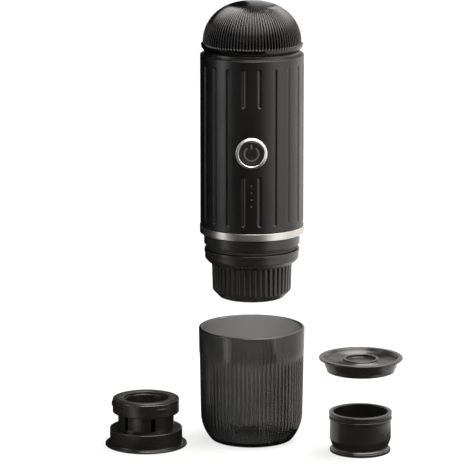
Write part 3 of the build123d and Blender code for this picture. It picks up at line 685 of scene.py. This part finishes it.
settle(turned("bright_ring", softened([
    (9.2, BEZEL_FRONT - 4.0, 0.1), (11.3, BEZEL_FRONT - 4.0, 0.1), (11.3, BEZEL_FRONT - 0.6, 0.3),
    (9.6, BEZEL_FRONT, 0.3), (9.2, BEZEL_FRONT - 0.3, 0.2)], 0.3),
    bright_chrome, columns=128, axis_to_front=True), "machine", "bezel_bright", "button_bezel")
settle(turned("button_cap", softened([
    (0, 32.9), (10.5, 32.9, 0.1), (10.5, 33.6, 0.1), (8.9, 33.6, 0.2), (8.9, BEZEL_FRONT - 0.1, 0.5),
    (7.6, BEZEL_FRONT - 0.1, 0.4), (7.0, BEZEL_FRONT - 0.3, 0.6), (0, BEZEL_FRONT - 0.45)], 0.3),
    cap_lacquer, columns=128, axis_to_front=True), "power_button", "button_black", "power_button")


def flat_mark(name, outlines, front, thick, finish):
    """Flat shapes on the button's cap, each from its outline (across, up) about the button's middle."""
    points, faces = [], []
    for outline in outlines:
        n, start = len(outline), len(points)
        for depth in (front, front - thick):
            points += [(x, -depth, BUTTON_HEIGHT + z) for x, z in outline]
        faces.append([start + i for i in range(n)])
        faces.append([start + n + i for i in range(n - 1, -1, -1)])
        for i in range(n):
            j = (i + 1) % n
            faces.append([start + j, start + i, start + n + i, start + n + j])
    return formed(name, points, faces, finish)


def power_mark():
    """The plain power symbol: an open ring with round ends and an upright bar in its gap."""
    outer, inner, gap, steps = 5.65, 4.45, radians(40), 40
    middle, half = (outer + inner) / 2, (outer - inner) / 2
    sweep = [pi / 2 + gap + (2 * pi - 2 * gap) * k / steps for k in range(steps + 1)]
    arc = [(outer * cos(turn), outer * sin(turn)) for turn in sweep]
    end = sweep[-1]
    arc += half_circle(middle * cos(end), middle * sin(end), half, end, 6)[1:-1]
    arc += [(inner * cos(turn), inner * sin(turn)) for turn in reversed(sweep)]
    start = sweep[0]
    arc += half_circle(middle * cos(start), middle * sin(start), half, start + pi, 6)[1:-1]
    bar_half, low, high = 0.65, 3.2, 6.8
    bar = half_circle(0.0, high - bar_half, bar_half, 0.0, 8)
    bar += half_circle(0.0, low + bar_half, bar_half, pi, 8)
    return flat_mark("power_mark", [arc, bar], BEZEL_FRONT - 0.3, 0.25, mark_ink)


settle(power_mark(), "power_button", "light_clear")


def on_front(name, outline, heights, finish):
    """Small turned forms on the front of the shell, one at each height."""
    pieces = [turned("lens", outline, finish, columns=20, place=(0.0, height - BUTTON_HEIGHT),
                     axis_to_front=True) for height in heights]
    with bpy.context.temp_override(active_object=pieces[0], selected_editable_objects=pieces):
        bpy.ops.object.join()
    pieces[0].name = name
    return pieces[0]


WINDOW = [(0, 36.9), (0.75, 36.9), (0.75, 37.22), (0.66, 37.3), (0.5, 37.3), (0, 37.28)]
LENS = [(0, 37.2), (0.42, 37.2), (0.42, 37.3), (0.26, 37.4), (0, 37.44)]
settle(on_front("light_windows", WINDOW, LIGHT_HEIGHTS, lens_dark), "machine", "light_clear", "light_pipes")
settle(on_front("charge_lights", LENS, LIGHT_HEIGHTS[:2], lens_dim), "machine", "light_clear")
settle(on_front("charge_lights_lit", LENS, LIGHT_HEIGHTS[2:], lens_lit), "machine", "light_clear")


# Brew head

flange = turned("head_flange", divided(softened([
    (CHAMBER_BORE, CAP_TOP, 0.1), (29.6, CAP_TOP, 0.15), (31.8, 133.1, 1.2), (34.0, 135.8, 1.2),
    (34.0, 140.0, 0.08), (34.4, 140.0, 0.15), (34.4, FLANGE_TOP, 0.3), (HEAD_SPIGOT_RADIUS, FLANGE_TOP, 0.1),
    (HEAD_SPIGOT_RADIUS, HEAD_SPIGOT_TOP, 0.5), (CHAMBER_BORE, HEAD_SPIGOT_TOP, 0.4)], 0.2),
    0.3, FLANGE_TOP + 0.2, HEAD_SPIGOT_TOP), black_abs, columns=160)
threaded(flange, HEAD_SPIGOT_RADIUS, 2.6, -0.5, FLANGE_TOP + 3.2, HEAD_SPIGOT_TOP - 0.3, black_abs)
settle(flange, "brew_head", "black_plastic", "brew_flange")


def knurled_head():
    """The knurled cap: broad upright bars with narrow gaps, over a smooth bowl-shaped foot."""
    outline = softened([
        (4.6, HEAD_FOOT, 0.2), (23.3, HEAD_FOOT, 2.0), (28.5, HEAD_KNEE, 2.2), (KNURL_RADIUS, CAP_TOP, 0.2),
        (CHAMBER_BORE, CAP_TOP, 0.2), (CHAMBER_BORE, 116.0, 1.5), (19.3, 110.5, 1.5),
        (4.6, 110.5, 0.2)], 0.3)
    outline = divided(outline, 0.45, 107.0, CAP_TOP)
    return shaped(turned("knurled_head", outline, black_abs, columns=KNURLS * 12), ribs, {
        "Ribs": KNURLS, "Depth share": 1.35 / KNURL_RADIUS, "Sharpness": 2.8, "Foot": 108.0 * MM,
        "Top": (CAP_TOP - 0.3) * MM, "Foot run": 0.5 * MM, "Top run": 0.6 * MM,
        "Inner radius": (CHAMBER_BORE + 0.1) * MM, "Valley radius": (CHAMBER_BORE + 0.6) * MM,
        "Finish": black_abs})


settle(knurled_head(), "brew_head", "black_plastic", "brew_cap")
settle(turned("steel_outlet", softened([
    (2.0, 106.2, 0.15), (3.5, 106.2, 0.3), (4.5, 107.4, 0.3), (4.5, 110.5, 0.1), (6.5, 110.5, 0.2),
    (6.5, 111.5, 0.3), (3.0, 113.5, 0.2), (2.0, 113.5, 0.1)], 0.15), screen_steel, columns=64),
    "brew_head", "screen_steel", "outlet_nozzle")
settle(turned("head_gasket", softened([
    (NECK_BORE, GASKET_FOOT), (33.1, GASKET_FOOT, 0.4), (33.1, 144.1, 0.1), (32.8, 144.45, 0.1),
    (33.1, 144.8, 0.1), (33.1, GASKET_TOP, 0.4), (NECK_BORE, GASKET_TOP)], 0.2), black_silicone),
    "brew_gasket", "seal_silicone", "brew_gasket")


# Cup

def cup_corner(inset, foot, steps):
    """The cup's rounded corner as points (radius, height), moved in by a wall, from foot up to its top."""
    drop = CUP_WAIST_RADIUS - CUP_FOOT_RADIUS
    bend = (drop**2 + CUP_CORNER**2) / (2 * drop)
    points = []
    for k in range(steps + 1):
        height = foot + (CUP_CORNER - foot) * (k / steps) ** 1.4
        across = (bend**2 - (CUP_CORNER - height) ** 2) ** 0.5
        points.append((CUP_WAIST_RADIUS - bend + across - inset, height))
    return points


def smoke_cup():
    """The cup: fine flutes from its foot to a plain band under the rim, and a clean wall inside."""
    rise = CUP_BAND - CUP_CORNER
    side = [(CUP_WAIST_RADIUS + 0.8 * k / 16, CUP_CORNER + rise * k / 16) for k in range(1, 17)]
    rim = softened([
        (38.3, CUP_BAND + 1), (CUP_RIM_RADIUS, CUP_RIM, 0.9), (CUP_RIM_RADIUS - CUP_WALL, CUP_RIM, 0.9),
        (CUP_WAIST_RADIUS - CUP_WALL, CUP_CORNER)], 0.5, closed=False)
    band = [(38.15, CUP_BAND + 0.4), (38.3, CUP_BAND + 1.2), (38.4, 71.0), (38.5, 77.0)]
    wall = cup_corner(CUP_WALL, CUP_FLOOR, 10)[::-1]
    outline = [(0, 0.5), (23.5, 0.5), (24.5, 0.0), (27.5, 0.0)] + cup_corner(0, 0.0, 16) + side + band
    outline += rim[1:-1] + [(35.6, 60.0), (35.1, 40.0)] + wall + [(26.0, CUP_FLOOR), (0, CUP_FLOOR)]
    cup = turned("smoke_cup", outline, smoke, columns=FLUTES * 10)
    # The second pass deepens the flutes round the foot.
    for depth, top, top_run in ((0.8, CUP_BAND + 0.6, 4.0), (0.3, 24.0, 16.0)):
        shaped(cup, ribs, {
            "Ribs": FLUTES, "Depth share": depth / 38.0, "Sharpness": 1.5, "Foot": 0.2 * MM, "Top": top * MM,
            "Foot run": 1.4 * MM, "Top run": top_run * MM, "Inner radius": 28.2 * MM, "Half round": 1.0,
            "Finish": smoke})
    return cup


settle(smoke_cup(), "cup", "cup_smoke", "cup")


# Capsule adapter

settle(turned("adapter_foot", softened([
    (17.0, 0.0, 0.2), (29.7, 0.0, 0.3), (29.7, 1.5, 0.5), (26.5, 1.5, 0.3), (26.3, 2.1, 0.2),
    (26.3, ADAPTER_BASE_TOP, 0.5), (20.6, ADAPTER_BASE_TOP, 0.1), (20.4, ADAPTER_BASE_TOP - 0.15, 0.1),
    (17.0, ADAPTER_BASE_TOP - 0.15, 0.3)], 0.2), black_abs, place=ADAPTER),
    "capsule_adapter", "black_plastic", "adapter_base")


def slotted_cage():
    """The cage between foot and top ring, with six upright windows."""
    foot, top = ADAPTER_BASE_TOP, ADAPTER_BASE_TOP + 11.7
    outline = divided([(18.3, foot), (20.3, foot), (20.3, top), (18.3, top)], 1.0)
    cage = turned("slotted_cage", outline, black_abs)
    inner, outer, half = 16.0, 22.5, 1.7
    square = ((inner, -half), (outer, -half), (outer, half), (inner, half))
    points = [(x, y, z) for z in (foot + 1.0, top - 1.0) for x, y in square]
    windows = formed("windows", points, [
        (3, 2, 1, 0), (4, 5, 6, 7), (0, 1, 5, 4), (1, 2, 6, 5), (2, 3, 7, 6), (3, 0, 4, 7)], black_abs)
    shaped(windows, copies_round, {"Copies": 6, "First turn": radians(-73), "Finish": black_abs})
    cut_by(cage, 35, windows)
    for vertex in cage.data.vertices:
        vertex.co.x += ADAPTER[0] * MM
        vertex.co.y += ADAPTER[1] * MM
    return cage


settle(slotted_cage(), "capsule_adapter", "black_plastic", "adapter_cage")
settle(turned("adapter_collar", softened([
    (17.0, 24.5, 0.2), (ADAPTER_RADIUS, 24.5, 0.7), (ADAPTER_RADIUS, 34.6, 0.7), (21.6, 34.6, 0.25),
    (21.6, WELL_SEAT, 0.1), (17.0, WELL_SEAT, 0.2)], 0.2), black_abs, place=ADAPTER),
    "capsule_adapter", "black_plastic", "adapter_top_ring")


def bayonet_lugs():
    """Three low lugs round the collar, thinned at their ends."""
    points, faces = [], []
    steps = 12
    for k in range(steps + 1):
        share = k / steps * 2 - 1
        turn = share * 4.0 / ADAPTER_RADIUS
        outer = ADAPTER_RADIUS + 0.7 * min(1.0, (1 - abs(share)) * 5)
        for r, z in ((23.8, 29.4), (outer, 29.4), (outer, 31.8), (23.8, 31.8)):
            points.append((r * cos(turn), r * sin(turn), z))
    for k in range(steps):
        for i in range(4):
            j = (i + 1) % 4
            faces.append((4 * k + i, 4 * k + 4 + i, 4 * k + 4 + j, 4 * k + j))
    faces += [(0, 1, 2, 3), tuple(4 * steps + i for i in (3, 2, 1, 0))]
    lugs = formed("bayonet_lugs", points, faces, black_abs)
    bevel = lugs.modifiers.new("edge", "BEVEL")
    bevel.width = 0.25 * MM
    bevel.segments = 2
    shaped(lugs)
    return shaped(lugs, copies_round, {
        "Copies": 3, "First turn": radians(-60), "Centre": (ADAPTER[0] * MM, ADAPTER[1] * MM, 0.0),
        "Finish": black_abs}, crease=40)


settle(bayonet_lugs(), "capsule_adapter", "black_plastic")
settle(turned("capsule_cone", softened([
    (2.0, 4.0, 0.1), (13.0, 4.0, 1.0), (16.5, WELL_SEAT, 0.3), (21.5, WELL_SEAT, 0.1),
    (21.5, SEAL_SEAT, 0.1), (15.3, SEAL_SEAT, 0.6), (11.8, 5.2, 0.6), (2.0, 5.2, 0.1)], 0.2),
    black_abs, place=ADAPTER),
    "capsule_adapter", "black_plastic", "capsule_well")
settle(turned("adapter_seal_ring", softened([
    (16.25, SEAL_SEAT, 0.2), (21.5, SEAL_SEAT, 0.2), (21.5, 34.7, 0.3), (20.9, 35.4, 0.3), (17.0, 35.2, 0.4),
    (16.25, 34.6, 0.4)], 0.2), black_silicone, place=ADAPTER),
    "capsule_adapter", "seal_silicone", "adapter_seal")


# Coffee basket and its lid

def tile(pitch, hole, thick):
    """A square of sheet with a round hole in it, lying on its underside."""
    sides = 12
    points, faces = [], []
    turns = [2 * pi * (k + 0.5) / sides for k in range(sides)]
    for z in (0.0, thick):
        for turn in turns:
            reach = pitch / 2 / max(abs(cos(turn)), abs(sin(turn)))
            points.append((reach * cos(turn), reach * sin(turn), z))
        points += [(hole * cos(turn), hole * sin(turn), z) for turn in turns]
    edge, rim, top_edge, top_rim = 0, sides, 2 * sides, 3 * sides
    for k in range(sides):
        j = (k + 1) % sides
        faces.append((edge + j, edge + k, rim + k, rim + j))
        faces.append((top_edge + k, top_edge + j, top_rim + j, top_rim + k))
        faces.append((rim + j, rim + k, top_rim + k, top_rim + j))
    return formed("tile", points, faces, screen_steel)


def round_screen(name, radius, foot, thick, place):
    """An etched screen with a plain rim. Its holes of 0.3 mm would not show, and are drawn at 0.9 mm."""
    pitch = 1.9
    screen = tile(pitch, 0.45, thick)
    shaped(screen, perforated, {
        "Pitch": pitch * MM, "Radius": (radius - 1.6) * MM, "Across": int(2 * radius / pitch) | 1,
        "Centre": (place[0] * MM, place[1] * MM, foot * MM), "Finish": screen_steel})
    rim = turned("rim", softened([
        (radius - 2.3, foot - 0.03), (radius, foot - 0.03), (radius, foot + thick),
        (radius - 2.3, foot + thick)], 0.08), screen_steel, place=place)
    with bpy.context.temp_override(active_object=screen, selected_editable_objects=[screen, rim]):
        bpy.ops.object.join()
    screen.name = name
    screen.data.set_sharp_from_angle(angle=radians(35))
    return screen


settle(turned("coffee_basket_cup", softened([
    (9.0, 0.0, 0.3), (22.0, 0.0, 0.5), (22.0, 1.9, 0.5), (20.6, 2.6, 0.5), (19.8, 3.6, 0.6),
    (20.9, 6.3, 2.5), (22.1, 9.5, 2.5), (22.1, 23.4, 0.2), (BASKET_RIM_RADIUS, 23.8, 0.3),
    (BASKET_RIM_RADIUS, 25.5, 0.35), (21.2, 25.5, 0.15), (21.2, 27.0, 0.15), (BASKET_RIM_RADIUS, 27.0, 0.5),
    (BASKET_RIM_RADIUS, 29.5, 0.6), (BASKET_BORE, 29.5, 0.7), (BASKET_BORE, BASKET_FLOOR, 0.5),
    (9.0, BASKET_FLOOR, 0.3)], 0.3),
    black_abs, place=BASKET), "coffee_basket", "black_plastic", "basket_body")
settle(turned("basket_o_ring", softened([
    (21.3, 25.6, 0.5), (22.3, 25.6, 0.6), (22.3, 26.9, 0.6), (21.3, 26.9, 0.5)], 0.4),
    black_silicone, place=BASKET), "coffee_basket", "seal_silicone", "basket_ring")
settle(round_screen("basket_sieve", 19.5, BASKET_FLOOR, 0.5, BASKET),
       "coffee_basket", "screen_steel", "basket_screen")


def dished_lid():
    """The basket's lid: a rim round a dish with fine turned ridges, a raised hub and its shallow recess."""
    foot, top = BASKET_LID_FOOT, BASKET_LID_TOP
    dish = top - 2.2
    ridges = []
    for k in range(9):
        r = 24.6 - 1.25 * k
        ridges += [(r, dish, 0.15), (r - 0.35, dish + 0.38, 0.15), (r - 0.8, dish, 0.15)]
    outline = softened([
        (0, foot + 5.2), (23.05, foot + 5.2, 0.3), (23.05, foot, 0.3), (24.5, foot, 0.5),
        (24.5, foot + 2.5, 0.2), (25.25, foot + 2.5, 0.3), (26.4, top - 4.6, 1.5), (27.25, top - 1.5, 0.3),
        (30.2, top - 1.5, 0.5), (30.2, top, 0.6), (26.7, top, 0.4), (25.6, dish, 0.8)] + ridges + [
        (13.0, dish, 0.3), (13.0, dish + 1.2, 0.5), (10.9, dish + 1.2, 0.4), (10.7, dish - 0.9, 0.5),
        (0, dish - 0.9)], 0.2)
    return turned("dished_lid", outline, black_abs, place=BASKET)


settle(dished_lid(), "basket_lid", "black_plastic", "basket_lid")
settle(round_screen("lid_sieve", 18.0, BASKET_LID_FOOT + 4.7, 0.5, BASKET), "basket_lid", "screen_steel",
       "lid_screen")


# Solids that are shown as they are

kept_finishes = {
    "heating_plate": cast_aluminium, "temperature_sensor": nylon_plate, "battery_cells": cell_sleeve,
    "chassis_plate": nylon_plate, "circuit_board": board_mask, "button_switch": nylon_plate,
    "pump_motor": motor_steel, "pump_head": nylon_plate, "intake_hose": milky_silicone,
    "port_board": board_mask, "charging_port": port_steel, "shower_plate": screen_steel,
    "needle_plate": screen_steel,
}
for name, finish in kept_finishes.items():
    slots = nodes[name].material_slots
    if not slots:
        nodes[name].data.materials.append(finish)
    for slot in slots:
        slot.material = finish


# Floor, room, lights and camera

def new_material(name):
    """A new material, and its tree with no node in it."""
    made = bpy.data.materials.new(name)
    return made, empty_tree(made)


def sheet(name, corners, finish):
    """A flat sheet from four corners in metres."""
    return formed(name, corners, [(0, 1, 2, 3)], finish, unit=1.0)


def seen_rays(tree):
    """1 for a ray from the camera, from a reflection or through the cup, and 0 for one that only lights."""
    ray = add(tree, "ShaderNodeLightPath").outputs
    seen = add(tree, MATH, ray["Is Camera Ray"], ray["Is Glossy Ray"], operation="MAXIMUM")
    return add(tree, MATH, seen, ray["Is Transmission Ray"], operation="MAXIMUM")


def pale_floor():
    """A plain pale floor that shows white where nothing stands on it, and keeps soft shadows."""
    made, tree = new_material("pale_studio_floor")
    plain = add(tree, "ShaderNodeBsdfDiffuse", linear("#d0d0ce"))
    shade = add(tree, "ShaderNodeBsdfDiffuse", linear("#8a8a88"))
    glow = add(tree, "ShaderNodeEmission", linear("#ffffff"), 0.74)
    lit = add(tree, "ShaderNodeAddShader", shade, glow)
    add(tree, "ShaderNodeOutputMaterial", add(tree, "ShaderNodeMixShader", seen_rays(tree), plain, lit))
    reach = 9.0
    corners = [(-reach, -reach, 0), (reach, -reach, 0), (reach, reach, 0), (-reach, reach, 0)]
    sheet("floor", corners, made)


def studio_world():
    """An even pale room, brighter where it is seen than where it lights."""
    world = bpy.data.worlds.new("pale_room")
    bpy.context.scene.world = world
    world.cycles.sampling_method = "NONE"
    tree = empty_tree(world)
    strength = add(tree, "ShaderNodeMapRange", seen_rays(tree), 0.0, 1.0, 0.3, 0.85)
    add(tree, "ShaderNodeOutputWorld", add(tree, "ShaderNodeBackground", linear("#ffffff"), strength))


def around(turn, distance, height):
    """A point in metres round the machine: turn in degrees from the front, towards the right."""
    return Vector((distance * sin(radians(turn)), -distance * cos(radians(turn)), height))


def softbox(name, place, aim, size, radiance, colour="#ffffff"):
    """A soft rectangular lamp at a place, pointed at aim, as bright as a white card of that radiance."""
    data = bpy.data.lights.new(name, "AREA")
    data.shape = "RECTANGLE"
    data.size, data.size_y = size
    data.energy = radiance * pi * size[0] * size[1]
    data.color = linear(colour)[:3]
    lamp = bpy.data.objects.new(name, data)
    bpy.context.scene.collection.objects.link(lamp)
    lamp.location = place
    lamp.rotation_euler = (Vector(aim) - Vector(place)).to_track_quat("-Z", "Y").to_euler()
    return lamp


def table_stripe(name, middle, half, near, far, radiance):
    """A pale stripe of table that points at the cup, soft at both edges: it draws a line down each flute."""
    made, tree = new_material(name)
    apart = add(tree, "ShaderNodeSeparateXYZ", add(tree, "ShaderNodeTexCoord").outputs["Object"]).outputs
    off = chain(tree, MATH, apart["Y"], ("ARCTAN2", apart["X"]), ("SUBTRACT", radians(middle - 90)),
                ("ABSOLUTE",))
    glow = add(tree, "ShaderNodeMapRange", off, 0.0, radians(half), radiance, 0.0,
               interpolation_type="SMOOTHSTEP")
    add(tree, "ShaderNodeOutputMaterial", add(tree, "ShaderNodeEmission", linear("#fff6ee"), glow))
    first, last, height = middle - half, middle + half, 0.0006
    corners = ((first, near), (first, far), (last, far), (last, near))
    return sheet(name, [around(turn, reach, height) for turn, reach in corners], made)


def glowing(name, colour, radiance):
    """A material that only glows, evenly."""
    made, tree = new_material(name)
    add(tree, "ShaderNodeOutputMaterial", add(tree, "ShaderNodeEmission", linear(colour), radiance))
    return made


def overhead_silk():
    """Silk lit from above: bright over the machine, and fading outwards."""
    made, tree = new_material("overhead_silk")
    place = add(tree, "ShaderNodeTexCoord").outputs["Object"]
    flat = add(tree, VECTOR_MATH, place, (1.0, 1.0, 0.0), operation="MULTIPLY")
    out = add(tree, VECTOR_MATH, flat, operation="LENGTH").outputs["Value"]
    glow = add(tree, "ShaderNodeMapRange", out, 0.6, 3.6, 13.0, 2.6)
    add(tree, "ShaderNodeOutputMaterial", add(tree, "ShaderNodeEmission", linear("#fffaf4"), glow))
    return made


def cloths_and_cards():
    """What only reflections see, round the set. Black cloth draws the dark of the glossy parts. Grey cloth
    and a bright silk overhead, and a white card and a pale stripe by the cup, draw their lights."""
    black, tree = new_material("black_cloth")
    add(tree, "ShaderNodeOutputMaterial", add(tree, "ShaderNodeBsdfDiffuse", linear("#050505")))
    grey = glowing("grey_cloth", "#ffffff", 0.3)
    silk = overhead_silk()
    card = glowing("white_card", "#fff6ee", 0.9)
    sheets = []
    steps, distance = 12, 0.95
    for name, first, last, foot, top in (
            ("front_flag", -57, 28, 0.001, 0.45), ("left_flag", -178, -80, 0.001, 1.5),
            ("front_left_flag", -80, -22, 0.46, 1.5)):
        for k in range(steps):
            a, b = (first + (last - first) * (k + s) / steps for s in (0, 1))
            corners = [around(a, distance, foot), around(b, distance, foot),
                       around(b, distance, top), around(a, distance, top)]
            sheets.append(sheet(f"{name}_{k}", corners, black))
    low, ceiling = 0.0003, 2.2
    for name, height, finish, corners in (
            ("front_floor_flag", low, black, ((-0.95, -0.95), (0.5, -0.95), (0.13, 0.03), (-0.95, 0.03))),
            ("left_floor_flag", low, black, ((-0.95, 0.03), (-0.045, 0.03), (-0.045, 0.95), (-0.95, 0.95))),
            ("left_ceiling_flag", ceiling, grey, ((-1.0, -3.4), (-0.7, 1.9), (-3.5, 4.5), (-7.0, -3.4))),
            ("rear_ceiling_flag", ceiling, grey, ((-0.28, 0.5), (0.3, 0.35), (1.5, 1.5), (-0.7, 1.9))),
            ("overhead_silk", ceiling, silk, ((-1.0, -3.4), (2.4, -3.4), (2.9, 0.9), (-0.28, 0.5)))):
        sheets.append(sheet(name, [(x, y, height) for x, y in corners], finish))
    side, top = 0.044, 0.095
    corners = [(side, -0.05, low), (side, 0.12, low), (side, 0.12, top), (side, -0.05, top)]
    sheets.append(sheet("cup_card", corners, card))
    sheets.append(table_stripe("cup_stripe", -52, 14, 0.14, 0.45, 1.5))
    for cloth in sheets:
        cloth.visible_camera = cloth.visible_diffuse = False
        cloth.visible_transmission = cloth.visible_shadow = False


pale_floor()
studio_world()
cloths_and_cards()
softbox("left_strip", around(-66, 0.85, 0.43), (0, 0, 0.43), (0.24, 0.84), 3.4)
softbox("right_softbox", around(62, 0.9, 0.46), (0, 0, 0.46), (0.6, 0.9), 1.4, "#fff4ea")
softbox("right_rear_softbox", around(118, 1.0, 0.5), (0, 0, 0.5), (0.7, 1.0), 1.0, "#fff6ee")
overhead = softbox("top_softbox", (0.95, 0.55, 2.2), (0.95, 0.55, 0.0), (1.9, 2.3), 9.0)
overhead.visible_glossy = False

camera = bpy.data.cameras.new("camera")
camera.sensor_width = 36.0
camera.lens = 275.7
camera.clip_end = 40.0
eye = bpy.data.objects.new("camera", camera)
bpy.context.scene.collection.objects.link(eye)
# It looks down at a point a little to the left of the machine's axis.
pitch, side, distance, shift = radians(12.1), radians(0.7), 2.609, -0.0122
aim = Vector((shift * cos(side), shift * sin(side), 0.1515))
eye.location = aim + distance * Vector((cos(pitch) * sin(side), -cos(pitch) * cos(side), sin(pitch)))
eye.rotation_euler = (pi / 2 - pitch, 0, side)
bpy.context.scene.camera = eye
bpy.context.scene.view_settings.view_transform = "Standard"
